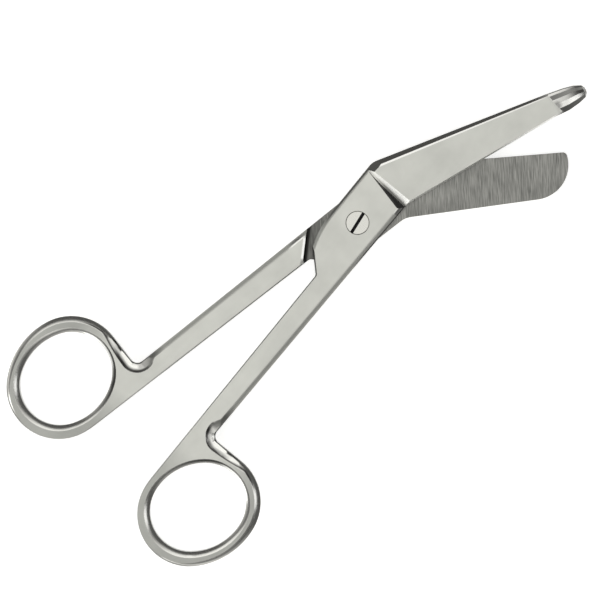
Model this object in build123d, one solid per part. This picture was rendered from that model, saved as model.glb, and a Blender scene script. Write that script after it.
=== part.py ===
from build123d import *
import os
from collections import namedtuple
from math import asin, atan2, cos, degrees, radians, sin, sqrt, tan

# Bandage scissors, 14.5 cm size. Two forged steel halves lap on one slotted screw.
# Each half is drawn with its outer side up: x from the pivot towards the tip, the finger ring
# on the -y side, z = 0 in the shear plane where the halves meet. The blunt half is then turned over.
# All sizes are millimetres and degrees.

# Thickness of a half above the shear plane
PLATE_T = 2.1           # lap plate, shank and ring
BLADE_T = 2.9           # blade, a step higher than the plate
PLAY = 0.04             # gap between the halves' inner faces

# Shank and lap plate
SHANK_GAP = 0.3         # between the two shanks when the scissors are shut
SHANK_WIDTH_PROBE = 5.85    # abreast of the pivot
SHANK_WIDTH_BLUNT = 6.05
SHANK_WIDTH_NECK = 5.0
PLATE_Y_PROBE = 6.15    # plate's edge on the side away from the ring
PLATE_Y_BLUNT = 5.8
PLATE_CURVE_X = -2.0    # where that edge starts to curve in
PLATE_CURVE_R = 26.5
REAR_X_PROBE = -15.4    # plate's rear edge meets the shank here
REAR_X_BLUNT = -13.7
REAR_ANGLE = 45.3
REAR_FILLET_R = 1.1
STOP_GAP = 0.15         # from the rear edge to the other half's lap shoulder, shut
STOP_LEAN = 0.4         # how far that shoulder slopes over its height
STOP_BEVEL = 0.5        # shallow bevel along its top
STOP_BEVEL_H = 0.13
NECK_R = 1.8

# Finger ring: ovals of four tangent arcs
OVAL_TIGHTNESS = 0.33   # how much rounder the oval's ends are than its sides
RING_X_PROBE = -73.75   # ring centre from the pivot
RING_X_BLUNT = -74.8
RING_TILT = -18.5
HOLE_TILT_PROBE = -23.0
HOLE_TILT_BLUNT = -8.0
HOLE_HALF_LENGTH = 11.28
HOLE_HALF_WIDTH = 9.78
BAND_END = 3.3          # metal at the ring's ends
BAND_SIDE = 2.85        # metal at its sides
HOLE_OFFSET = 0.3       # hole set towards the shank's inner edge

# Rounding of the rim, measured inwards across the top
OUTER_ROUND = 1.2
INNER_ROUND = 0.25
PLATE_ROUND = 0.95
REAR_ROUND = 0.35
RING_ROUND = 0.75       # mean over the ring's outer edge
RING_ROUND_FAR = 0.35   # at the ring's far end
HOLE_ROUND = 1.15       # mean over the finger hole's rim
HOLE_LEAN = 0.25        # how much wider it is at the ring's far end, as a share
RIM_EASIEST = 12.0      # slope at which the rounding leaves the flat
RIM_STEEPEST = 38.0     # slope at which it meets the upright wall
RIM_LEVELS = (1, 0.67, 0.33, 0)   # shares between those slopes, from the wall up to the flat

# Scoop along the neck, where the shank's outer edge turns into the ring
SCOOP_WIDTH = 2.3
SCOOP_STEEPEST = 22.0   # slope at its inner line
SCOOP_EASIEST = -3.0    # slope where it leaves through the edge, rising a little
SCOOP_RISE = 2.2        # angle at which it runs out along the ring

# Blade root, both halves
SHOULDER_X = 11.5       # top of the step from the plate up to the blade
SHOULDER_BEVEL_SPINE = 0.45   # width of the step's bevel at the spine side
SHOULDER_BEVEL_EDGE = 1.4     # and at the cutting edge's side
COVE_SPINE = 0.15       # width of the cove that runs down to the step's foot
COVE_EDGE = 2.1
COVE_DEPTH_SPINE = 0.08
COVE_DEPTH_EDGE = 0.8
COVE_BREAK = (0.6, 0.3)     # where the cove steepens: shares of its width from the foot and of its depth
EDGE_ROOT_X = 10.7      # where the cutting edge leaves the shank's outer line
EDGE_BEVEL = 0.3        # ground bevel behind the cutting edge
EDGE_BEVEL_H = 1.2

# Probe blade, in its own axes: e along the spine, n across from the pivot towards the spine
PROBE_ANGLE = -29.5
PROBE_SPINE_N = 11.7
PROBE_EDGE_E = 51.8     # end of the cutting edge
PROBE_EDGE_N = 6.2
SPINE_CORNER_R = 4.0
SPINE_BEVEL_ROOT = 1.3
SPINE_BEVEL_TIP = 0.65
SPINE_BEVEL_H = 1.0
SPINE_LIP = 0.32        # narrow second bevel beside the blade's flat
SPINE_LIP_H = 0.08
SIDE_BEVEL = 0.85       # where the spine's bevel runs on down the plate's side
SIDE_BEVEL_H = 0.65
SIDE_BEVEL_LENGTH = 11.0
FACET_LEAN = 20.0       # the flat ends on a line that leans back by this angle
FACET_WIDTH = 1.3       # at the cutting edge
FACET_WIDTH_SPINE = 0.4
FACET_DROP = 0.15

# Probe tip, fused to the blade's end
PROBE_START_E = 51.1
PROBE_END_E = 60.0
PROBE_LOW_Z = -1.4
PROBE_HIGH_Z = 2.7
# Its section, round from the spine side: shares of the width from edge to spine and of the height
PROBE_SECTION = ((1, 0.35), (1, 0.658), (0.955, 0.711), (0.855, 0.741), (0.655, 0.936), (0.455, 1),
                 (0.23, 0.95), (0, 0.661), (0, 0.45), (0.15, 0.12), (0.35, 0), (0.65, 0), (0.9, 0.12))
# Where its sections stand: share of the length, set-in from the edge and from the spine as shares
# of the blade's end width, share of the height
PROBE_STATIONS = ((0, -0.02, 0, 1), (0.44, 0.04, 0.02, 0.985), (0.73, 0.16, 0.07, 0.95),
                  (0.93, 0.29, 0.18, 0.89), (1, 0.43, 0.31, 0.5))

# Blunt blade, in its own axes: e along the edge, n from the pivot towards the cutting edge
BLUNT_ANGLE = 33.1
BLUNT_EDGE_N = 12.4
BLUNT_SPINE_N = -0.3    # spine line's height abreast of the pivot
BLUNT_SPINE_SLOPE = 3.2
BLUNT_LENGTH = 49.5
BLUNT_TIP_R = 8.0
BLUNT_CORNER_R = 1.0
BLUNT_ROOT_R = 5.0
BLUNT_SPINE_BEVEL = 1.2
BLUNT_SPINE_BEVEL_H = 1.5

# Pivot screw
HEAD_R = 2.7
HEAD_H = 1.0
HEAD_RIM = 0.14
JOURNAL_R = 1.8
TAIL_R = 1.5
RUNNING_GAP = 0.04      # round the journal and the head
THREAD_GAP = 0.01
SLOT_WIDTH = 0.75
SLOT_DEPTH = 0.6
SLOT_ANGLE = 13.7

# Pose: how far the halves stand open, counted from the line of the shut scissors
OPEN_ANGLE = 13.15

# What differs between the two handles: stop_x is where the other half's rear edge lies when shut.
Half = namedtuple("Half", "ring_x hole_tilt rear_x stop_x plate_y shank_width")
PROBE = Half(RING_X_PROBE, HOLE_TILT_PROBE, REAR_X_PROBE, REAR_X_BLUNT, PLATE_Y_PROBE, SHANK_WIDTH_PROBE)
BLUNT = Half(RING_X_BLUNT, HOLE_TILT_BLUNT, REAR_X_BLUNT, REAR_X_PROBE, PLATE_Y_BLUNT, SHANK_WIDTH_BLUNT)


def along(angle):
    """Unit vector in the plan at an angle from +x."""
    return Vector(cos(radians(angle)), sin(radians(angle)))


def rounded(corner, before, after, radius):
    """Start, middle and end of the arc that rounds a corner between two unit headings."""
    half_turn = radians(before.get_angle(after)) / 2
    length = radius * tan(half_turn)
    inward = (after - before).normalized()
    middle = corner + inward * (radius / cos(half_turn) - radius)
    return corner - before * length, middle, corner + after * length


def arc_at(centre, radius, start, end):
    """Arc about a centre between two headings in degrees."""
    angles = (start, (start + end) / 2, end)
    return ThreePointArc(*[centre + along(a) * radius for a in angles])


def line_on_circle(point, heading, centre, radius):
    """Far crossing of a line with a circle."""
    offset = point - centre
    half = offset.dot(heading)
    return point + heading * (sqrt(half**2 - offset.dot(offset) + radius**2) - half)


class Oval:
    """Oval of four tangent arcs: two of end_r at its ends and two of side_r along its sides."""

    def __init__(self, centre, half_length, half_width, tilt):
        self.tilt = tilt
        excess = half_length - half_width
        self.end_r = half_width - OVAL_TIGHTNESS * excess
        self.side_r = half_length + excess / (2 * OVAL_TIGHTNESS)
        self.joint = degrees(atan2(1 + 1 / (2 * OVAL_TIGHTNESS), 1 + OVAL_TIGHTNESS))
        reach = half_length - self.end_r
        sink = self.side_r - half_width
        self.near = centre + along(tilt) * reach
        self.far = centre - along(tilt) * reach
        self.left = centre - along(tilt + 90) * sink
        self.right = centre + along(tilt + 90) * sink

    def arcs(self, start, end):
        """The four arcs, clockwise from a heading on the near end to one on the left side."""
        turn = self.tilt - 180
        return [
            arc_at(self.near, self.end_r, start, self.tilt - self.joint),
            arc_at(self.right, self.side_r, self.tilt - self.joint, turn + self.joint),
            arc_at(self.far, self.end_r, turn + self.joint, turn - self.joint),
            arc_at(self.left, self.side_r, turn - self.joint, end),
        ]


def slab(plan, low, high):
    """Solid over a plan between two heights."""
    return Pos(Z=low) * extrude(plan, high - low, dir=(0, 0, 1))


def shank_inner_y():
    return -SHANK_GAP / 2


def shank_outer_y(x, half):
    """Outer edge of the shank, which narrows evenly from the pivot to the ring."""
    neck_x = half.ring_x + HOLE_HALF_LENGTH + BAND_END
    width = half.shank_width + (SHANK_WIDTH_NECK - half.shank_width) * x / neck_x
    return shank_inner_y() - width


def ring_oval(half, inset):
    """Outer oval of the ring, tangent to the shank's inner edge; inset runs from 0 to 1 up the rim."""
    half_length = HOLE_HALF_LENGTH + BAND_END
    half_width = HOLE_HALF_WIDTH + BAND_SIDE
    base = Oval(Vector(), half_length, half_width, RING_TILT)
    rise = base.side_r + base.left.Y
    centre = Vector(half.ring_x, shank_inner_y() - rise)
    centre += Vector(RING_ROUND_FAR - RING_ROUND, RING_ROUND - INNER_ROUND) * inset
    shrink = RING_ROUND * inset
    return Oval(centre, half_length - shrink, half_width - shrink, RING_TILT)


def front_low(half, inset):
    """Front end of the shank's outer edge."""
    return Vector(SHOULDER_X, shank_outer_y(SHOULDER_X, half) + OUTER_ROUND * inset)


def neck_arc(half, inset):
    """Hollow corner from the shank's outer edge into the ring's upright flank: start, middle and end."""
    oval = ring_oval(half, inset)
    flank_x = oval.near.X + oval.end_r
    neck = Vector(flank_x, shank_outer_y(flank_x, half) + OUTER_ROUND * inset)
    return rounded(neck, (neck - front_low(half, inset)).normalized(), Vector(0, -1), NECK_R)


def handle_outline(half, inset):
    """Outline of plate, shank and ring, drawn in by a share of each edge's rounding."""
    inner_y = shank_inner_y() - INNER_ROUND * inset
    plate_y = half.plate_y - PLATE_ROUND * inset
    neck = neck_arc(half, inset)

    # Rear edge of the plate, with a hollow fillet from the shank and a curve to the plate's side
    rear = along(REAR_ANGLE)
    foot_shift = REAR_ROUND * inset / rear.Y - INNER_ROUND * inset / tan(radians(REAR_ANGLE))
    foot = Vector(half.rear_x + foot_shift, inner_y)
    foot_arc = rounded(foot, Vector(1, 0), rear, REAR_FILLET_R)
    curve_centre = Vector(PLATE_CURVE_X, half.plate_y - PLATE_CURVE_R)
    curve_r = PLATE_CURVE_R - PLATE_ROUND * inset
    corner = line_on_circle(foot, rear, curve_centre, curve_r)
    corner_angle = degrees(atan2(corner.Y - curve_centre.Y, corner.X - curve_centre.X))
    front_high = Vector(SHOULDER_X, plate_y)

    ring = ring_oval(half, inset).arcs(0, -270)
    edges = [
        Line(front_low(half, inset), neck[0]),
        ThreePointArc(*neck),
        Line(neck[2], ring[0] @ 0),
        *ring,
        Line(ring[3] @ 1, foot_arc[0]),
        ThreePointArc(*foot_arc),
        Line(foot_arc[2], corner),
        arc_at(curve_centre, curve_r, corner_angle, 90),
        Line(curve_centre + Vector(0, curve_r), front_high),
        Line(front_high, front_low(half, inset)),
    ]
    return Wire(edges)


def rim_point(level):
    """Point of the rim's arc: set-in from the wall and drop from the flat, as shares of the arc's width."""
    start, end = radians(RIM_EASIEST), radians(RIM_STEEPEST)
    slope = start + (end - start) * level
    reach = sin(end) - sin(start)
    return 1 - (sin(slope) - sin(start)) / reach, (cos(start) - cos(slope)) / reach


def wall_top():
    """Height at which the upright wall ends and the rim's rounding starts."""
    return PLATE_T - OUTER_ROUND * rim_point(1)[1]


def rim_cap(half):
    """Upper part of the handle, whose rim rolls over on an arc."""
    sections = []
    for level in RIM_LEVELS:
        inset, drop = rim_point(level)
        sections.append(Pos(Z=PLATE_T - OUTER_ROUND * drop) * handle_outline(half, inset))
    return Solid.make_loft(sections, ruled=True)


def hole_round():
    """Rounding of the finger hole's rims, as far as the ring's flat leaves room for it."""
    return min(HOLE_ROUND, 0.9 * (BAND_SIDE - RING_ROUND), 0.9 * PLATE_T)


def hole_outline(half, flare):
    """Finger hole's outline, opened out by flare and leaning to the ring's far end as it opens."""
    ring = ring_oval(half, 0)
    centre = (ring.near + ring.far) / 2 + Vector(-HOLE_LEAN * flare, HOLE_OFFSET)
    oval = Oval(centre, HOLE_HALF_LENGTH + flare, HOLE_HALF_WIDTH + flare, half.hole_tilt)
    start = half.hole_tilt + oval.joint
    return Wire(oval.arcs(start, start - 360))


def ring_hole(half):
    """Finger hole as a tool that passes through both faces and rounds its rims over."""
    sections = []
    for level in RIM_LEVELS:
        inset, drop = rim_point(level)
        sections.append(Pos(Z=PLATE_T - hole_round() * drop) * hole_outline(half, hole_round() * inset))
    mouth = Solid.make_loft(sections, ruled=True)
    return slab(Face(hole_outline(half, 0)), -2 * PLATE_T, 2 * PLATE_T) + mouth + mirror(mouth, Plane.XY)


def scoop_section(edge, inward, lift):
    """Section of the neck's scoop at a point of the edge: an arc that dips from the flat towards the edge."""
    easiest = sin(radians(SCOOP_EASIEST))
    radius = SCOOP_WIDTH / (sin(radians(SCOOP_STEEPEST)) - easiest)
    outside = degrees(asin(easiest - 0.7 * NECK_R / radius))
    inside = 1.4 * SCOOP_STEEPEST

    def at(slope):
        across = radius * (sin(radians(slope)) - easiest)
        z = radius * (cos(radians(SCOOP_STEEPEST)) - cos(radians(slope)))
        return edge + inward * across + Vector(0, 0, PLATE_T + lift + z)

    low, high = at(outside), at(inside)
    corner = Vector(low.X, low.Y, high.Z)
    return Wire([ThreePointArc(low, at((outside + inside) / 2), high), Line(high, corner), Line(corner, low)])


def scoop_lift(run):
    """How far the scoop has risen at a distance from the neck, starting gently."""
    return tan(radians(SCOOP_RISE)) * (sqrt(run**2 + NECK_R**2) - NECK_R)


def neck_scoop(half):
    """Tool for the scoop: round the neck's corner, down the ring's flank and out along the ring."""
    neck_end = neck_arc(half, 0)[2]
    neck_centre = neck_end + Vector(NECK_R, 0)
    ring = ring_oval(half, 0)
    flank = neck_end.Y - ring.near.Y
    sections = []
    for heading in range(10, 181, 10):
        inward = along(heading)
        sections.append(scoop_section(neck_centre + inward * NECK_R, inward, 0))
    for share in (0.35, 0.7):
        run = flank * share
        sections.append(scoop_section(neck_end - Vector(0, run), Vector(-1, 0), scoop_lift(run)))
    for heading in range(0, 71, 10):
        outward = along(-heading)
        lift = scoop_lift(flank + ring.end_r * radians(heading))
        sections.append(scoop_section(ring.near + outward * ring.end_r, outward * -1, lift))
    return Solid.make_loft(sections, ruled=True)


def lap_cut(half):
    """The room that the other half fills: its plate, back to a sloped lap shoulder, and its shank."""
    reach = 4 * abs(half.stop_x)
    forward = along(90 - REAR_ANGLE)
    foot = Vector(half.stop_x, -shank_inner_y()) - forward * (STOP_GAP + STOP_LEAN)
    across = Plane(origin=foot, x_dir=forward, z_dir=along(-REAR_ANGLE))
    out = PLATE_T / STOP_BEVEL_H
    section = Polyline((STOP_LEAN, PLAY / 2), (reach, PLAY / 2), (reach, -2 * PLATE_T),
                       (-STOP_BEVEL * (1 + out), -2 * PLATE_T), (0, STOP_BEVEL_H - PLATE_T), close=True)
    plate_room = extrude(across * make_face(section), reach, both=True)
    beside = Pos(half.rear_x - REAR_FILLET_R, shank_inner_y()) * Rectangle(reach, reach, align=Align.MIN)
    return plate_room + slab(beside, -2 * PLATE_T, PLAY / 2)


def handle(half):
    """Plate, shank and ring of one half, outer side up."""
    cap = rim_cap(half)
    wall = slab(Face(handle_outline(half, 0)), -wall_top(), wall_top())
    scoop = neck_scoop(half)
    body = wall + cap + mirror(cap, Plane.XY) - ring_hole(half) - lap_cut(half)
    return body - scoop - mirror(scoop, Plane.XY)


def plane_through(a, b, c):
    """Plane through three points, facing up."""
    normal = (b - a).cross(c - a).normalized()
    if normal.Z < 0:
        normal = normal * -1
    return Plane(origin=a, x_dir=(b - a).normalized(), z_dir=normal)


def bevel(solid, start, end, inward, widths, height):
    """Planes off a blade's top edge along a plan line, by widths at its ends and a height at its start."""
    top = Vector(0, 0, BLADE_T)
    plane = plane_through(start + inward * widths[0] + top, end + inward * widths[1] + top,
                          start + top - Vector(0, 0, height))
    return split(solid, bisect_by=plane, keep=Keep.BOTTOM)


def edge_bevel(blade, start, end, inward):
    """Grinds the narrow bevel behind a cutting edge."""
    return bevel(blade, start, end, inward, (EDGE_BEVEL, EDGE_BEVEL), EDGE_BEVEL_H)


def shoulder_section(y, bevel_width, cove_width, cove_depth):
    """Section of the room over the plate, down into the cove and up the step's bevel."""
    foot_x = SHOULDER_X - bevel_width
    break_x, break_depth = COVE_BREAK
    points = [(0, PLATE_T), (foot_x - cove_width, PLATE_T),
              (foot_x - cove_width * break_x, PLATE_T - cove_depth * break_depth),
              (foot_x, PLATE_T - cove_depth), (SHOULDER_X, BLADE_T),
              (SHOULDER_X, 2 * BLADE_T), (0, 2 * BLADE_T)]
    return Wire.make_polygon([Vector(x, y, z) for x, z in points])


def shoulder_cut():
    """Cuts the step from plate to blade, whose bevel and cove widen towards the cutting edge."""
    at_edge = (SHOULDER_BEVEL_EDGE, COVE_EDGE, COVE_DEPTH_EDGE)
    at_spine = (SHOULDER_BEVEL_SPINE, COVE_SPINE, COVE_DEPTH_SPINE)
    side = PLATE_Y_PROBE
    stations = [(-2 * side, at_edge), (-side, at_edge), (side, at_spine), (2 * side, at_spine)]
    return Solid.make_loft([shoulder_section(y, *sizes) for y, sizes in stations], ruled=True)


def blade_root(half):
    """Where the raised blade starts: its corners at the shank's outer edge and at the spine side."""
    edge_x = SHOULDER_X - SHOULDER_BEVEL_EDGE
    spine_x = SHOULDER_X - SHOULDER_BEVEL_SPINE
    return Vector(edge_x, shank_outer_y(edge_x, half)), Vector(spine_x, half.plate_y)


def probe_point(e, n, z=0):
    return along(PROBE_ANGLE) * e + along(PROBE_ANGLE + 90) * n + Vector(0, 0, z)


def spine_root():
    """Corner where the probe blade's spine meets the plate's side."""
    x = (PROBE_SPINE_N - PLATE_Y_PROBE * cos(radians(PROBE_ANGLE))) / -sin(radians(PROBE_ANGLE))
    return Vector(x, PLATE_Y_PROBE)


def probe_section(e, low, high, scale):
    """Section across the probe: a ridged top, upright sides and a rounded underside."""
    bottom = PROBE_LOW_Z * scale
    height = PROBE_HIGH_Z * scale - bottom
    points = [probe_point(e, low + (high - low) * u, bottom + height * v) for u, v in PROBE_SECTION]
    return Wire.make_polygon(points)


def probe_tip():
    """Blunt probe that reaches past the other blade's point on both sides of the shear plane."""
    length = PROBE_END_E - PROBE_START_E
    width = PROBE_SPINE_N - PROBE_EDGE_N
    sections = []
    for share, from_edge, from_spine, scale in PROBE_STATIONS:
        low = PROBE_EDGE_N + from_edge * width
        high = PROBE_SPINE_N - from_spine * width
        sections.append(probe_section(PROBE_START_E + length * share, low, high, scale))
    return Solid.make_loft(sections, ruled=True)


def probe_blade():
    """Blade with a bevelled spine, a short facet at its end and the probe beyond it."""
    outer_root, inner_root = blade_root(PROBE)
    root_low = Vector(EDGE_ROOT_X, shank_outer_y(EDGE_ROOT_X, PROBE))
    edge_end = probe_point(PROBE_EDGE_E, PROBE_EDGE_N)
    edge = (edge_end - root_low).normalized()
    lean = along(PROBE_ANGLE + 90 + FACET_LEAN)
    spine_end = edge_end + lean * ((PROBE_SPINE_N - PROBE_EDGE_N) / cos(radians(FACET_LEAN)))
    spine = along(PROBE_ANGLE)
    root = spine_root()
    corner = rounded(root, spine * -1, Vector(-1, 0), SPINE_CORNER_R)
    plan = make_face([
        Line(root_low, edge_end + edge * FACET_WIDTH),
        Line(edge_end + edge * FACET_WIDTH, spine_end + spine * FACET_WIDTH),
        Line(spine_end + spine * FACET_WIDTH, corner[0]),
        ThreePointArc(*corner),
        Line(corner[2], inner_root),
        Line(inner_root, outer_root),
        Line(outer_root, root_low),
    ])
    blade = slab(plan, PLAY / 2, BLADE_T)
    to_edge = along(PROBE_ANGLE - 90)
    widths = (SPINE_BEVEL_ROOT, SPINE_BEVEL_TIP)
    blade = bevel(blade, root, spine_end, to_edge, widths, SPINE_BEVEL_H)
    lips = [w + SPINE_LIP * w / SPINE_BEVEL_ROOT for w in widths]
    lip_h = SPINE_LIP_H * lips[0] / SPINE_LIP
    blade = bevel(blade, root, spine_end, to_edge, lips, lip_h)
    blade = edge_bevel(blade, root_low, edge_end, Vector(-edge.Y, edge.X))
    facet_foot = edge_end + spine * FACET_WIDTH
    blade = bevel(blade, facet_foot, spine_end + spine * FACET_WIDTH, spine * -1,
                  (FACET_WIDTH, FACET_WIDTH_SPINE), FACET_DROP)
    return blade + probe_tip()


def blunt_point(e, n):
    return along(BLUNT_ANGLE) * e + along(BLUNT_ANGLE - 90) * n


def blunt_blade():
    """Wide blade with a rounded blunt end."""
    spine = along(BLUNT_ANGLE - BLUNT_SPINE_SLOPE)
    edge = along(BLUNT_ANGLE)
    spine_start = blunt_point(0, BLUNT_SPINE_N)
    root = spine_start + spine * ((PLATE_Y_BLUNT - spine_start.Y) / spine.Y)
    hollow = rounded(root, Vector(1, 0), spine, BLUNT_ROOT_R)

    # Tip arc: tangent to the spine and reaching the blade's full length
    slope = radians(BLUNT_SPINE_SLOPE)
    tip_e = BLUNT_LENGTH - BLUNT_TIP_R
    tip_n = BLUNT_SPINE_N + tip_e * tan(slope) + BLUNT_TIP_R / cos(slope)
    tip = blunt_point(tip_e, tip_n)
    spine_end = tip + along(BLUNT_ANGLE - BLUNT_SPINE_SLOPE + 90) * BLUNT_TIP_R

    # Corner between the tip arc and the cutting edge, rounded by an arc inside the tip arc
    inset = BLUNT_TIP_R - BLUNT_CORNER_R
    rise = BLUNT_EDGE_N - BLUNT_CORNER_R - tip_n
    corner = blunt_point(tip_e + sqrt(inset**2 - rise**2), BLUNT_EDGE_N - BLUNT_CORNER_R)
    touch_angle = degrees(atan2(corner.Y - tip.Y, corner.X - tip.X))
    tip_arc = arc_at(tip, BLUNT_TIP_R, BLUNT_ANGLE - BLUNT_SPINE_SLOPE + 90, touch_angle)
    corner_arc = arc_at(corner, BLUNT_CORNER_R, touch_angle, BLUNT_ANGLE - 90)

    outer_root = blade_root(BLUNT)[0]
    outer_y = outer_root.Y
    edge_start = (corner_arc @ 1) - edge * (((corner_arc @ 1).Y - outer_y) / edge.Y)
    start = Vector(hollow[0].X, 0)
    plan = make_face([
        Line(start, hollow[0]),
        ThreePointArc(*hollow),
        Line(hollow[2], spine_end),
        tip_arc,
        corner_arc,
        Line(corner_arc @ 1, edge_start),
        Line(edge_start, outer_root),
        Line(outer_root, Vector(outer_root.X, 0)),
        Line(Vector(outer_root.X, 0), start),
    ])
    blade = slab(plan, PLAY / 2, BLADE_T)
    blade = bevel(blade, root, spine_end, along(BLUNT_ANGLE - BLUNT_SPINE_SLOPE - 90),
                  (BLUNT_SPINE_BEVEL, BLUNT_SPINE_BEVEL), BLUNT_SPINE_BEVEL_H)
    return edge_bevel(blade, edge_start, corner_arc @ 1, along(BLUNT_ANGLE + 90))


def bore(radius, low, high):
    return slab(Circle(radius), low, high)


def side_bevel(body):
    """Runs the spine's bevel on down the plate's side, where it narrows to nothing."""
    corner = spine_root() + Vector(0, 0, PLATE_T)
    plane = plane_through(corner - Vector(0, SIDE_BEVEL), corner - Vector(SIDE_BEVEL_LENGTH, 0),
                          corner - Vector(0, 0, SIDE_BEVEL_H))
    return split(body, bisect_by=plane, keep=Keep.BOTTOM)


def probe_half():
    """Upper half: turns on the screw, whose head lies flush in its plate."""
    seat_z = PLATE_T - HEAD_H - PLAY / 2
    body = side_bevel(handle(PROBE) + probe_blade() - shoulder_cut())
    body -= bore(JOURNAL_R + RUNNING_GAP, -BLADE_T, BLADE_T)
    return Rot(Z=OPEN_ANGLE / 2) * (body - bore(HEAD_R + RUNNING_GAP, seat_z, BLADE_T))


def blunt_half():
    """Lower half: turned over, with the screw's tail fixed in it."""
    body = handle(BLUNT) + blunt_blade() - shoulder_cut() - bore(TAIL_R + THREAD_GAP, -BLADE_T, BLADE_T)
    return Rot(Z=-OPEN_ANGLE / 2) * Rot(X=180) * body


def pivot_screw():
    """Slotted screw: flush head, journal down to the lower plate, tail flush below."""
    head = chamfer((bore(HEAD_R, PLATE_T - HEAD_H, PLATE_T)).edges().sort_by(Axis.Z)[-1], HEAD_RIM)
    body = head + bore(JOURNAL_R, -PLAY / 2, PLATE_T - HEAD_H) + bore(TAIL_R, -PLATE_T, -PLAY / 2)
    slot = Pos(Z=PLATE_T - SLOT_DEPTH / 2) * Box(4 * HEAD_R, SLOT_WIDTH, SLOT_DEPTH)
    return body - Rot(Z=SLOT_ANGLE) * slot


nodes = {"probe_half": probe_half(), "blunt_half": blunt_half(), "pivot_screw": pivot_screw()}

# The scissors lie on z = 0, with the middle of their box over the origin.
box = Compound(list(nodes.values())).bounding_box()
to_origin = Pos(-box.center().X, -box.center().Y, -box.min.Z)
os.makedirs("parts", exist_ok=True)
for name, solid in nodes.items():
    export_step(to_origin * solid, f"parts/{name}.step")
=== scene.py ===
"""Looks of a pair of bandage scissors: satin stainless steel with buffed bevels, seen from above.

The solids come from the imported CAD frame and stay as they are. This script joins their faces into
smooth skins, gives them their steel, and sets up the floor, the light and the camera.
"""

import math
from collections import namedtuple
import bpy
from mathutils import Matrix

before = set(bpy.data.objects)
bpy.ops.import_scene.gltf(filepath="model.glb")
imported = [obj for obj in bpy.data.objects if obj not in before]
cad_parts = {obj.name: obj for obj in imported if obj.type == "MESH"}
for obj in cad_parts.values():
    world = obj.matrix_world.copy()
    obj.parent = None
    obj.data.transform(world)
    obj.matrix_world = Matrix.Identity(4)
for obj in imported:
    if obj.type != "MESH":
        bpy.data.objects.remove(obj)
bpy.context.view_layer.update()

from types import SimpleNamespace

import bpy
import numpy as np
from mathutils import Vector

MM = 0.001

# The kinds of node that are used most. A ramp's inputs are a value, its two limits, and what it becomes
# at each of them, which is 0 and 1 where it isn't said. A mix has its share as input 0, and mixes inputs
# 2 and 3, which are numbers, or 6 and 7, which are colours.
RAMP = "ShaderNodeMapRange"
MATH = "ShaderNodeMath"
VECTOR = "ShaderNodeVectorMath"
MIX = "ShaderNodeMix"

# Places in the row frame, in metres, the same as in the CAD.
SHEAR_Z = 2.9 * MM          # the plane in which the two halves slide on each other
PLATE_T = 2.1 * MM          # from there to the flats of plates, shanks and rings
SLOT_FLOOR_Z = 4.4 * MM     # the bottom of the screw's slot
PIVOT = Vector((14.093 * MM, -0.060 * MM, 0.0))     # the screw's axis
LAP_SPOT = (1.0 * MM, 4.7 * MM, 4.0 * MM)           # the lap shoulder of the lower half
COVE_SPOT = (24.8 * MM, -3.2 * MM, 4.5 * MM)        # the cove before the upper blade's step
HOLLOW_SPOT = (65.6 * MM, -12.9 * MM, 5.6 * MM)     # the hollow before the upper blade's probe

# What differs between the halves: the heading of the grinding lines, the neck beside the finger ring,
# the ring's middle, and the spot that narrow buffed facets surround, with their reach and how bright they
# are buffed.
Half = namedtuple("Half", "heading neck ring bright reach shine")
PROBE = Half(heading=math.radians(6.6),
             neck=(-43.2 * MM, -11.0 * MM, SHEAR_Z), ring=(-57.9 * MM, -21.0 * MM, SHEAR_Z),
             bright=(62.0 * MM, -8.0 * MM, 4.0 * MM), reach=40.0 * MM, shine=1.0)
BLUNT = Half(heading=math.radians(-6.6),
             neck=(-45.2 * MM, 11.9 * MM, SHEAR_Z), ring=(-58.9 * MM, 21.4 * MM, SHEAR_Z),
             bright=LAP_SPOT, reach=2.4 * MM, shine=0.8)

# How the photograph lies over the row frame: the turn of its right-hand side, and its view's middle.
VIEW_TURN = math.radians(-44.325)
VIEW_MIDDLE = Vector((-7.7 * MM, -3.5 * MM, 2.9 * MM))
VIEW_WIDTH = 138.0 * MM
LENS_MM = 180.0
SENSOR_MM = 36.0

# Zones of the surface are pairs of limits: where a zone begins, and where it is full.
# Along the row, from the rings to the tip.
RING_ZONE = (-40.5 * MM, -43.5 * MM)
FRONT_ZONE = (6.0 * MM, 10.0 * MM)
TIP_ZONE = (63.0 * MM, 66.0 * MM)


def linear(hex_colour):
    """An sRGB hex colour as the linear RGBA that sockets take."""
    parts = [int(hex_colour[i:i + 2], 16) / 255 for i in (1, 3, 5)]
    return [p / 12.92 if p <= 0.04045 else ((p + 0.055) / 1.055) ** 2.4 for p in parts] + [1.0]


def add(tree, kind, inputs=(), **settings):
    """Adds one node: settings are its properties, inputs its sockets in order, or by name or number.

    An input is a value, another node's output, or a whole node, which stands for its first output in use.
    """
    node = tree.nodes.new(kind)
    for name, value in settings.items():
        setattr(node, name, value)
    for socket, value in inputs.items() if isinstance(inputs, dict) else enumerate(inputs):
        if isinstance(value, bpy.types.Node):
            value = next(output for output in value.outputs if output.enabled)
        if isinstance(value, bpy.types.NodeSocket):
            tree.links.new(value, node.inputs[socket])
        else:
            node.inputs[socket].default_value = value
    return node


def in_view(right, up, high):
    """A direction along the photograph's right, its up and towards the camera, in the row frame."""
    cos, sin = math.cos(VIEW_TURN), math.sin(VIEW_TURN)
    return Vector((cos * right - sin * up, sin * right + cos * up, high))


# How the faces of a solid are joined: edges stay sharp where the faces meet at more than RIM_FOLD, or at
# more than FINE_FOLD where small folds are seen.
JOIN_DISTANCE = 0.002 * MM
RIM_FOLD, FINE_FOLD = math.radians(24), math.radians(9)
FINE_FADE = 0.5 * MM
ON_FLAT = (PLATE_T - 0.03 * MM, PLATE_T - 0.01 * MM)
FLAT_WEIGHT = 60            # how far the larger faces lead the shading


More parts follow.
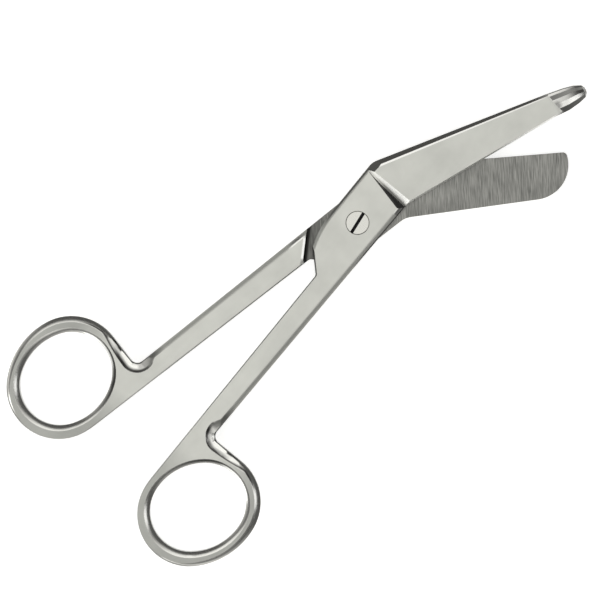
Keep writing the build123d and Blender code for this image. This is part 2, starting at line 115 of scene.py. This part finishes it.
def skin_nodes(name, half):
    """A node group that joins a solid's faces along their shared edges and shades them as one skin.

    Small folds are seen among the half's narrow facets, and along the border of the finger rings' flats.
    """
    group = bpy.data.node_groups.new(name, "GeometryNodeTree")
    group.interface.new_socket("Geometry", in_out="INPUT", socket_type="NodeSocketGeometry")
    group.interface.new_socket("Geometry", in_out="OUTPUT", socket_type="NodeSocketGeometry")
    place = add(group, "GeometryNodeInputPosition")
    spot = add(group, "ShaderNodeSeparateXYZ", [place]).outputs
    away = add(group, VECTOR, [place, half.bright], operation="DISTANCE")
    near = add(group, RAMP, [away, half.reach + FINE_FADE, half.reach])
    off_shear = add(group, MATH, [spot["Z"], SHEAR_Z], operation="SUBTRACT")
    height = add(group, MATH, [off_shear], operation="ABSOLUTE")
    on_flat = add(group, RAMP, [height, *ON_FLAT])
    on_ring = add(group, RAMP, [spot["X"], *RING_ZONE, 0, on_flat])
    fine = add(group, MATH, [near, on_ring], operation="MAXIMUM")
    limit = add(group, RAMP, [fine, 0, 1, RIM_FOLD, FINE_FOLD])
    fold = add(group, "GeometryNodeInputMeshEdgeAngle").outputs["Unsigned Angle"]
    sharp = add(group, "FunctionNodeCompare", [fold, limit], operation="GREATER_THAN")

    solid = add(group, "NodeGroupInput").outputs["Geometry"]
    joined = add(group, "GeometryNodeMergeByDistance", {"Geometry": solid, "Distance": JOIN_DISTANCE})
    bare = add(group, "GeometryNodeRemoveAttribute", {"Geometry": joined, "Name": "custom_normal"})
    smooth = add(group, "GeometryNodeSetShadeSmooth", {
        "Geometry": bare, "Shade Smooth": True}, domain="FACE")
    edged = add(group, "GeometryNodeSetShadeSmooth", {
        "Geometry": smooth, "Selection": sharp, "Shade Smooth": False}, domain="EDGE")
    add(group, "NodeGroupOutput", [edged])
    return group


def dress(name, material, skin):
    """Gives a CAD node its material and its joined skin."""
    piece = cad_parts[name]
    piece.data.materials.clear()
    piece.data.materials.append(material)
    piece.modifiers.new("joined_skin", "NODES").node_group = skin
    even = piece.modifiers.new("flat_faces_lead", "WEIGHTED_NORMAL")
    even.keep_sharp = True
    even.weight = FLAT_WEIGHT


def bare_material(name):
    """A material with an empty node tree, and that tree."""
    material = bpy.data.materials.new(name)
    material.use_nodes = True
    material.node_tree.nodes.clear()
    return material, material.node_tree


# Martensitic stainless steel, forged, belt ground on the flats and buffed on the edges. The flats look an
# even warm grey with a soft sheen and hair-fine lines along the piece, a little darker round the finger
# rings. The bevels are almost mirrors, and the upright sides stay duller, with shade painted on them. Dark
# shade is also painted on the steep bevels in front, and black shade in creases, corners and hollows. The
# inner faces are ground crosswise and left coarser, so they look darker and streaky.
SATIN_GREY = "#c3c4bf"
RING_GREY, RING_RIM_GREY = "#a3a4a0", "#e0e0dc"
BUFFED_GREY = "#ecece9"
# Painted shade: the darker grey of the upright sides, and the dark of the steep bevels in front.
SIDE_DULL_SHADE_GREY, BEVEL_SHADE_GREY = "#7e7e7b", "#525250"
GROUND_DARK, GROUND_LIGHT = "#666764", "#aaaaa6"
SATIN_ROUGH, SATIN_SWING = 0.36, 0.05
RIM_ROUGH, RING_RIM_ROUGH = 0.46, 0.2
BUFFED_ROUGH, STEP_ROUGH = 0.13, 0.5
GROUND_ROUGH = 0.45

# Grinding lines on the flats and streaks on the ground faces. The real ones are some hundredths of a
# millimetre wide, too fine to show, so they are drawn coarser. Soft clouds lie over both.
LINE_WIDTH, LINE_LENGTH, LINE_DETAIL = 0.3 * MM, 8.0 * MM, 3.0
LINE_DEPTH = 0.0012 * MM
STREAK_WIDTH, STREAK_LENGTH, STREAK_DETAIL = 0.22 * MM, 4.0 * MM, 4.0
STREAK_TURN = math.radians(49)
STREAK_SHARE, CLOUD_SHARE = 0.7, 0.3
STREAK_SPREAD = (0.34, 0.66)
CLOUD_SIZE, CLOUD_DETAIL = 7.0 * MM, 3.0
CLOUD_SPREAD, CLOUD_TONE = (0.3, 0.7), (0.93, 1.07)

# Zones of the finishes, again as pairs of limits.
# By how level the surface is: 1 on a flat, 0 on an upright wall.
FLAT_LEVEL = (0.9925, 0.998)
SCOOP_LEVEL = (0.965, 0.98)
UPRIGHT_LEVEL = (0.83, 0.72)
BEVEL_LEVELS = ((0.885, 0.85), (0.6, 0.7))
CREASE_LEVEL = (0.8, 0.88)
SCOOP_END_LEVEL = (0.6, 0.7)
HOLE_LEVELS = ((0.97, 0.935), (0.72, 0.85))
# By height over or under the shear plane.
GROUND_HEIGHT = (0.15 * MM, 0.06 * MM)
BELOW_FLAT = (PLATE_T - 0.01 * MM, PLATE_T - 0.05 * MM)
CREASE_HEIGHT = (PLATE_T - 0.15 * MM, PLATE_T - 0.08 * MM)
CORNER_HEIGHT = (PLATE_T - 0.32 * MM, PLATE_T - 0.18 * MM)
# By which way the surface faces, along the row and across it.
BACKWARD_X, COVE_X, TIP_END_X = (-0.05, -0.2), (0.2, 0.3), (0.3, 0.2)
TIP_LOW_Y, TIP_HIGH_Y = (-0.35, -0.55), (0.1, 0.3)
# By how far the surface faces away from the ring's middle: 2 mm and more on the scoop, less on the hole's
# rim.
CREASE_OUTWARD = (2.6 * MM, 3.2 * MM)
WALL_OUTWARD = (4.6 * MM, 5.6 * MM)
SCOOP_EDGE_OUTWARD = (2.2 * MM, 1.5 * MM)
HOLE_OUTWARD = (2.0 * MM, 1.0 * MM)
# By distance from the neck.
NECK_REACH = (17.0 * MM, 14.0 * MM)
RING_FAR_REACH = (7.0 * MM, 16.0 * MM)
WALL_REACH = (9.5 * MM, 7.5 * MM)
CORNER_REACH = (8.0 * MM, 5.0 * MM)
HOLE_REACH = (15.0 * MM, 7.0 * MM)
# By how far the surface lies past the neck along the row.
CORNER_PAST = (-3.0 * MM, -1.8 * MM)
SCOOP_END_PAST = (0.1 * MM, 1.4 * MM)
# By distance from the other spots.
BRIGHT_FADE = 1.0 * MM
COVE_REACH = (8.0 * MM, 4.0 * MM)
HOLLOW_REACH = (1.4 * MM, 0.5 * MM)
LAP_WALL_REACH = (3.4 * MM, 2.4 * MM)
# By how far the ground face lies in front of the lap shoulder: the painted black corner line, and the painted
# shade beyond.
LAP_FORWARD = (0.625, -0.780, 0.0)
LAP_CORNER, LAP_REACH = (1.2 * MM, 1.6 * MM), (0.9 * MM, 5.5 * MM)

# How strong a finish or a painted shade is in its zone.
SCOOP_SHINE = 0.65
TIP_BEVEL_DARK, TIP_HIGH_SHADE = 0.6, 0.6
COVE_BLACK, HOLLOW_BLACK = 0.8, 0.65
SCOOP_EDGE_BLACK, SCOOP_END_BLACK, HOLE_BLACK = 0.5, 0.7, 0.85
# What is left of the steel's colour under the painted black shade, in the painted corner line and in the
# painted shade.
BLACK_SHADE, CORNER_SHADE, LAP_SHADE = 0.1, 0.2, 0.4


def brushed(tree, place, turn, length, width, detail):
    """Noise drawn out into lines along a heading."""
    laid = add(tree, "ShaderNodeMapping", {
        "Vector": place, "Rotation": (0, 0, turn), "Scale": (length, width, width)},
        vector_type="TEXTURE")
    return add(tree, "ShaderNodeTexNoise", {"Vector": laid, "Scale": 1.0, "Detail": detail})


def surface_readings(tree, half):
    """What the steel reads at each point: its place, the way it faces, and how far the half's spots are."""
    coordinates = add(tree, "ShaderNodeTexCoord")
    place, normal = coordinates.outputs["Object"], coordinates.outputs["Normal"]
    spot, facing = [add(tree, "ShaderNodeSeparateXYZ", [part]).outputs for part in (place, normal)]
    off_shear = add(tree, MATH, [spot["Z"], SHEAR_Z], operation="SUBTRACT")
    from_ring = add(tree, VECTOR, [place, half.ring], operation="SUBTRACT")
    to_neck, to_lap, to_cove, to_hollow, to_bright = [
        add(tree, VECTOR, [place, point], operation="DISTANCE")
        for point in (half.neck, LAP_SPOT, COVE_SPOT, HOLLOW_SPOT, half.bright)]
    return SimpleNamespace(
        place=place, x=spot["X"], facing_x=facing["X"], facing_y=facing["Y"],
        level=add(tree, MATH, [facing["Z"]], operation="ABSOLUTE"),
        height=add(tree, MATH, [off_shear], operation="ABSOLUTE"),
        outward=add(tree, VECTOR, [from_ring, normal], operation="DOT_PRODUCT"),
        to_neck=to_neck, to_lap=to_lap, to_cove=to_cove, to_hollow=to_hollow, to_bright=to_bright)


def add_zones(tree, at, half):
    """Adds to the readings the zones that several finishes share, each from 0 to 1."""
    at.ring, at.front, at.tip = [
        add(tree, RAMP, [at.x, *zone]) for zone in (RING_ZONE, FRONT_ZONE, TIP_ZONE)]
    # The scoop beside each ring is nearly level too, but lies below the ring's flat.
    at.below_flat = add(tree, RAMP, [at.height, *BELOW_FLAT, 0, at.ring])
    elsewhere = add(tree, RAMP, [at.below_flat, 1, 0])
    at.flat = add(tree, RAMP, [at.level, *FLAT_LEVEL, 0, elsewhere])
    at.scoop = add(tree, RAMP, [at.level, *SCOOP_LEVEL, 0, at.below_flat])
    # The ground face is level, and next to the shear plane.
    at.ground = add(tree, RAMP, [at.height, *GROUND_HEIGHT, 0, at.flat])
    at.upright = add(tree, RAMP, [at.level, *UPRIGHT_LEVEL])
    at.backward = add(tree, RAMP, [at.facing_x, *BACKWARD_X, 0, at.front])
    at.onward = add(tree, RAMP, [at.backward, 1, 0])
    at.buffed = add(tree, RAMP, [at.to_bright, half.reach + BRIGHT_FADE, half.reach, 0, half.shine])


def flat_colour(tree, at, clouds):
    """Flats: satin grey, darker on the rings far from the neck, with clouds that are only just there."""
    ring_far = add(tree, RAMP, [at.to_neck, *RING_FAR_REACH, 0, at.ring])
    grey = add(tree, MIX, {0: ring_far, 6: linear(SATIN_GREY), 7: linear(RING_GREY)}, data_type="RGBA")
    tone = add(tree, RAMP, [clouds, *CLOUD_SPREAD, *CLOUD_TONE])
    return add(tree, VECTOR, {0: grey, "Scale": tone}, operation="SCALE")


def painted_bevel_shade(tree, at):
    """Where dark shade is painted: on steep bevels in front, and on the tip's lower side."""
    bevel = add(tree, RAMP, [at.tip, 0, 1, 1, TIP_BEVEL_DARK])
    for share in (at.front, at.onward):
        bevel = add(tree, MATH, [bevel, share], operation="MULTIPLY")
    for limits in BEVEL_LEVELS:
        bevel = add(tree, RAMP, [at.level, *limits, 0, bevel])
    tip_low = add(tree, RAMP, [at.facing_y, *TIP_LOW_Y, 0, at.tip])
    tip_low = add(tree, MATH, [tip_low, at.upright], operation="MULTIPLY")
    return add(tree, MATH, [bevel, tip_low], operation="MAXIMUM")


def shaded_dull_sides(tree, at):
    """Where the steel is painted darker as shade, and is duller: on upright sides, apart from the blade's
    step, and on the tip's upper side.
    """
    side = add(tree, MATH, [at.upright, at.onward], operation="MULTIPLY")
    tip_high = add(tree, RAMP, [at.facing_y, *TIP_HIGH_Y, 0, TIP_HIGH_SHADE])
    tip_high = add(tree, RAMP, [at.facing_x, *TIP_END_X, 0, tip_high])
    tip_high = add(tree, MATH, [tip_high, at.tip], operation="MULTIPLY")
    return add(tree, MATH, [side, tip_high], operation="MAXIMUM")


def painted_neck_shade(tree, at, half):
    """Painted black shade below the ring's flat, near the neck.

    It lies in the crease under the flat and round the scoop's corner, along the scoop's outer edge, and
    thinly on the finger hole's rim.
    """
    line = add(tree, RAMP, [at.outward, *CREASE_OUTWARD])
    line = add(tree, RAMP, [at.height, *CREASE_HEIGHT, 0, line])
    wall = add(tree, RAMP, [at.outward, *WALL_OUTWARD])
    wall = add(tree, RAMP, [at.to_neck, *WALL_REACH, 0, wall])
    corner = add(tree, RAMP, [at.x, *(half.neck[0] + past for past in CORNER_PAST)])
    corner = add(tree, RAMP, [at.to_neck, *CORNER_REACH, 0, corner])
    corner = add(tree, RAMP, [at.height, *CORNER_HEIGHT, 0, corner])
    crease = 0.0
    for share in (line, wall, corner):
        crease = add(tree, MATH, [crease, share], operation="MAXIMUM")
    black = add(tree, RAMP, [at.level, *CREASE_LEVEL, 0, crease])

    scoop_edge = add(tree, RAMP, [at.outward, *SCOOP_EDGE_OUTWARD, 0, SCOOP_EDGE_BLACK])
    scoop_edge = add(tree, MATH, [scoop_edge, at.scoop], operation="MULTIPLY")
    hole = add(tree, RAMP, [at.outward, *HOLE_OUTWARD, 0, HOLE_BLACK])
    hole = add(tree, RAMP, [at.to_neck, *HOLE_REACH, 0, hole])
    for limits in HOLE_LEVELS:
        hole = add(tree, RAMP, [at.level, *limits, 0, hole])
    for share in (scoop_edge, hole):
        black = add(tree, MATH, [black, share], operation="MAXIMUM")
    black = add(tree, MATH, [black, at.below_flat], operation="MULTIPLY")
    return add(tree, RAMP, [at.to_neck, *NECK_REACH, 0, black])


def painted_black_shade(tree, at, half):
    """Where black shade is painted: beside the rings, at the scoops' ends, and on the lap shoulder's wall.

    It also lies in the cove before the blade's step, and in the hollow before the probe.
    """
    scoop_end = add(tree, RAMP, [
        at.x, *(half.neck[0] + past for past in SCOOP_END_PAST), 0, SCOOP_END_BLACK])
    scoop_end = add(tree, RAMP, [at.to_neck, *CORNER_REACH, 0, scoop_end])
    scoop_end = add(tree, RAMP, [at.level, *SCOOP_END_LEVEL, 0, scoop_end])
    lap_wall = add(tree, RAMP, [at.to_lap, *LAP_WALL_REACH, 0, at.upright])
    cove = add(tree, RAMP, [at.to_cove, *COVE_REACH, 0, COVE_BLACK])
    cove = add(tree, RAMP, [at.facing_x, *COVE_X, 0, cove])
    hollow = add(tree, RAMP, [at.to_hollow, *HOLLOW_REACH, 0, HOLLOW_BLACK])
    black = painted_neck_shade(tree, at, half)
    for share in (scoop_end, lap_wall, cove, hollow):
        black = add(tree, MATH, [black, share], operation="MAXIMUM")
    return black


def edge_colour(tree, at, half):
    """Edges: buffed round the bright spot, nearly so on the rings, as the flats are along the shank, and
    darkened with painted shade.
    """
    shine = add(tree, MATH, [at.scoop, SCOOP_SHINE], operation="MULTIPLY")
    shine = add(tree, MATH, [at.buffed, shine], operation="MAXIMUM")
    grey = add(tree, MIX, {0: at.ring, 6: linear(SATIN_GREY), 7: linear(RING_RIM_GREY)}, data_type="RGBA")
    # Painted shade: upright sides greyed, and steep bevels in front darkened.
    side_shade, shaded_bevel = shaded_dull_sides(tree, at), painted_bevel_shade(tree, at)
    for share, colour in ((shine, BUFFED_GREY), (side_shade, SIDE_DULL_SHADE_GREY), (shaded_bevel, BEVEL_SHADE_GREY)):
        grey = add(tree, MIX, {0: share, 6: grey, 7: linear(colour)}, data_type="RGBA")
    # Painted shade: black in creases, corners, the cove and the hollow darkens the edges.
    unshaded = add(tree, RAMP, [painted_black_shade(tree, at, half), 0, 1, 1, BLACK_SHADE])
    return add(tree, VECTOR, {0: grey, "Scale": unshaded}, operation="SCALE")


def ground_colour(tree, at, streaks, clouds):
    """The ground face: streaked and cloudy, and painted dark as shade where it runs up to the lap shoulder.
    """
    cloudy = add(tree, MATH, [clouds, CLOUD_SHARE], operation="MULTIPLY")
    tone = add(tree, MATH, [streaks, STREAK_SHARE, cloudy], operation="MULTIPLY_ADD")
    light = add(tree, RAMP, [tone, *STREAK_SPREAD])
    streaky = add(tree, MIX, {
        0: light, 6: linear(GROUND_DARK), 7: linear(GROUND_LIGHT)}, data_type="RGBA")
    from_lap = add(tree, VECTOR, [at.place, LAP_SPOT], operation="SUBTRACT")
    forward = add(tree, VECTOR, [from_lap, LAP_FORWARD], operation="DOT_PRODUCT")
    # Painted shade in the corner and the pocket in front of the lap shoulder.
    corner = add(tree, RAMP, [forward, *LAP_CORNER, CORNER_SHADE, 1])
    shade = add(tree, RAMP, [forward, *LAP_REACH, LAP_SHADE, 1])
    shade = add(tree, MATH, [corner, shade], operation="MULTIPLY")
    return add(tree, VECTOR, {0: streaky, "Scale": shade}, operation="SCALE")


def steel_roughness(tree, at, lines):
    """How rough each finish is: the blade's step more than other edges, the flats varied by their lines."""
    rough = add(tree, MIX, {0: at.ring, 2: RIM_ROUGH, 3: RING_RIM_ROUGH})
    step = add(tree, MATH, [at.backward, at.upright], operation="MULTIPLY")
    satin = add(tree, RAMP, [lines, 0, 1, SATIN_ROUGH - SATIN_SWING, SATIN_ROUGH + SATIN_SWING])
    for share, finish in ((at.buffed, BUFFED_ROUGH), (step, STEP_ROUGH),
                          (at.flat, satin), (at.ground, GROUND_ROUGH)):
        rough = add(tree, MIX, {0: share, 2: rough, 3: finish})
    return rough


def satin_steel(name, half):
    """The steel of one half: satin flats with lines along it, buffed edges, and a ground inner face."""
    material, tree = bare_material(name)
    at = surface_readings(tree, half)
    add_zones(tree, at, half)
    lines = brushed(tree, at.place, half.heading, LINE_LENGTH, LINE_WIDTH, LINE_DETAIL)
    streaks = brushed(tree, at.place, STREAK_TURN, STREAK_LENGTH, STREAK_WIDTH, STREAK_DETAIL)
    clouds = add(tree, "ShaderNodeTexNoise", {
        "Vector": at.place, "Scale": 1 / CLOUD_SIZE, "Detail": CLOUD_DETAIL})
    colour = edge_colour(tree, at, half)
    flat, ground = flat_colour(tree, at, clouds), ground_colour(tree, at, streaks, clouds)
    for share, face in ((at.flat, flat), (at.ground, ground)):
        colour = add(tree, MIX, {0: share, 6: colour, 7: face}, data_type="RGBA")
    bump = add(tree, "ShaderNodeBump", {"Strength": at.flat, "Distance": LINE_DEPTH, "Height": lines})
    steel = add(tree, "ShaderNodeBsdfPrincipled", {
        "Metallic": 1.0, "Base Color": colour, "Roughness": steel_roughness(tree, at, lines), "Normal": bump})
    add(tree, "ShaderNodeOutputMaterial", [steel])
    return material


# The same steel on the turned screw, with the bottom of its slot darkened. The turning marks
# are drawn some times coarser than real ones, so that they show.
SCREW_GREY, SLOT_DARK = "#cdcdc8", "#161616"
SLOT_FADE = (SLOT_FLOOR_Z + 0.1 * MM, SLOT_FLOOR_Z + 0.5 * MM)
SCREW_ROUGH, SCREW_SWING = 0.28, 0.04
TURNING_PITCH, TURNING_WAVER = 0.3 * MM, 1.0
WAVES_PER_SCALE = 10 / math.pi      # rings in a metre that a wave texture of scale 1 has


def screw_steel(name):
    """Turned steel: fine rings round the screw's axis, and a dark slot floor."""
    material, tree = bare_material(name)
    place = add(tree, "ShaderNodeTexCoord").outputs["Object"]
    centred = add(tree, "ShaderNodeMapping", {"Vector": place, "Location": -PIVOT})
    rings = add(tree, "ShaderNodeTexWave", {
        "Vector": centred, "Scale": 1 / (WAVES_PER_SCALE * TURNING_PITCH),
        "Distortion": TURNING_WAVER, "Detail": 1.0}, wave_type="RINGS", rings_direction="Z")
    height = add(tree, "ShaderNodeSeparateXYZ", [place]).outputs["Z"]
    above_floor = add(tree, RAMP, [height, *SLOT_FADE])
    colour = add(tree, MIX, {
        0: above_floor, 6: linear(SLOT_DARK), 7: linear(SCREW_GREY)}, data_type="RGBA")
    rough = add(tree, RAMP, [
        rings.outputs["Fac"], 0, 1, SCREW_ROUGH - SCREW_SWING, SCREW_ROUGH + SCREW_SWING])
    steel = add(tree, "ShaderNodeBsdfPrincipled", {
        "Metallic": 1.0, "Base Color": colour, "Roughness": rough})
    add(tree, "ShaderNodeOutputMaterial", [steel])
    return material


# A white laminate tabletop. The camera and mirror-like metal see it lifted to plain white, and it still takes
# the object's shadow.
FLOOR_WHITE, LIFT_WHITE = "#f2f2f0", "#ffffff"
FLOOR_LIFT = 0.66
FLOOR_HALF = 0.9


def white_laminate():
    """Matt white, lifted by a glow that only the camera, mirrors and glass see."""
    material, tree = bare_material("white_laminate")
    ray = add(tree, "ShaderNodeLightPath").outputs
    mirrored = add(tree, MATH, [
        ray["Is Glossy Ray"], ray["Is Transmission Ray"]], operation="MAXIMUM")
    seen = add(tree, MATH, [ray["Is Camera Ray"], mirrored], operation="MAXIMUM")
    lift = add(tree, MATH, [seen, FLOOR_LIFT], operation="MULTIPLY")
    glow = add(tree, "ShaderNodeEmission", {"Color": linear(LIFT_WHITE), "Strength": lift})
    paint = add(tree, "ShaderNodeBsdfDiffuse", {"Color": linear(FLOOR_WHITE)})
    add(tree, "ShaderNodeOutputMaterial", [add(tree, "ShaderNodeAddShader", [paint, glow])])
    return material


def white_floor():
    """A flat square under the object."""
    mesh = bpy.data.meshes.new("table_top")
    corners = FLOOR_HALF * np.array([(-1, -1, 0), (1, -1, 0), (1, 1, 0), (-1, 1, 0)], float)
    mesh.from_pydata(corners.tolist(), [], [(0, 1, 2, 3)])
    mesh.materials.append(white_laminate())
    floor = bpy.data.objects.new("table_top", mesh)
    bpy.context.scene.collection.objects.link(floor)


# The room: one broad soft box overhead, longer along the photograph's height than across it, in a dim
# studio with a pale wall behind the finger rings and a white backdrop low down all round. The steel's
# flats show the box, and its bevels show the walls. The edges of the light are pairs: where it ends, and
# where it is full. The box's four sides are slopes from the vertical, to the photograph's right and up, and
# the others are parts of a unit direction.
ROOM_WHITE = "#fffefb"
BOX_LIGHT, WALL_LIGHT, BACKDROP_LIGHT, ROOM_LIGHT = 1.16, 0.25, 0.85, 0.09
BOX_LEFT, BOX_RIGHT = (-0.9, -0.45), (0.55, 0.10)
BOX_LOW, BOX_HIGH = (-1.1, -0.55), (0.74, 0.52)
BOX_RISE = (0.1, 0.3)
WALL_SIDE, WALL_TOP, BACKDROP_TOP = (0.25, -0.05), (0.72, 0.45), (0.44, 0.14)
SOFT = {"interpolation_type": "SMOOTHSTEP"}     # an edge of light that fades smoothly

# Two lamps beside it: the way to each along the photograph's right, its up and towards the camera, then
# its width and height in metres, and its watts.
LAMP_DISTANCE = 0.9
LAMPS = (("box_left", (-0.78, -0.6, 0.26), (0.9, 0.45), 2.2),
         ("box_right", (0.55, -0.07, 1.0), (0.22, 0.22), 0.21))


def studio_world():
    """World light as a function of direction: the box overhead, the wall and the backdrop, else dim."""
    world = bpy.data.worlds.new("studio")
    bpy.context.scene.world = world
    world.use_nodes = True
    tree = world.node_tree
    tree.nodes.clear()
    way = add(tree, "ShaderNodeTexCoord").outputs["Generated"]
    parts = add(tree, "ShaderNodeSeparateXYZ", [way]).outputs
    box = add(tree, RAMP, [parts["Z"], *BOX_RISE], **SOFT)
    for axis, edges in ((in_view(1, 0, 0), (BOX_LEFT, BOX_RIGHT)),
                        (in_view(0, 1, 0), (BOX_LOW, BOX_HIGH))):
        part = add(tree, VECTOR, [way, axis], operation="DOT_PRODUCT")
        slope = add(tree, MATH, [part, parts["Z"]], operation="DIVIDE")
        for edge in edges:
            box = add(tree, RAMP, [slope, *edge, 0, box], **SOFT)
    wall = add(tree, RAMP, [parts["X"], *WALL_SIDE], **SOFT)
    wall = add(tree, RAMP, [parts["Z"], *WALL_TOP, 0, wall], **SOFT)
    backdrop = add(tree, RAMP, [parts["Z"], *BACKDROP_TOP], **SOFT)
    light = ROOM_LIGHT
    for share, strength in ((box, BOX_LIGHT), (wall, WALL_LIGHT), (backdrop, BACKDROP_LIGHT)):
        light = add(tree, MATH, [share, strength, light], operation="MULTIPLY_ADD")
    room = add(tree, "ShaderNodeBackground", {"Color": linear(ROOM_WHITE), "Strength": light})
    add(tree, "ShaderNodeOutputWorld", [room])


def soft_box(name, way, size, watts):
    """A rectangular area lamp that shines on the object from a direction."""
    lamp = bpy.data.lights.new(name, "AREA")
    lamp.shape = "RECTANGLE"
    lamp.size, lamp.size_y = size
    lamp.energy = watts
    box = bpy.data.objects.new(name, lamp)
    bpy.context.scene.collection.objects.link(box)
    towards = in_view(*way).normalized()
    box.location = VIEW_MIDDLE + towards * LAMP_DISTANCE
    box.rotation_euler = (-towards).to_track_quat("-Z", "Y").to_euler()


def camera_above():
    """The camera straight above the view's middle, turned as the photograph is."""
    lens = bpy.data.cameras.new("camera")
    lens.lens = LENS_MM
    lens.sensor_width = SENSOR_MM
    eye = bpy.data.objects.new("camera", lens)
    bpy.context.scene.collection.objects.link(eye)
    eye.location = VIEW_MIDDLE + Vector((0, 0, VIEW_WIDTH * LENS_MM / SENSOR_MM))
    eye.rotation_euler = (0, 0, VIEW_TURN)
    bpy.context.scene.camera = eye


def main():
    """Dresses the three solids and sets the stage."""
    bpy.context.scene.view_settings.view_transform = "Standard"
    for name, half in (("probe_half", PROBE), ("blunt_half", BLUNT)):
        dress(name, satin_steel("satin_steel_" + name, half), skin_nodes(name + "_skin", half))
    dress("pivot_screw", screw_steel("turned_steel"), skin_nodes("screw_skin", BLUNT))
    white_floor()
    studio_world()
    for name, way, size, watts in LAMPS:
        soft_box(name, way, size, watts)
    camera_above()


main()
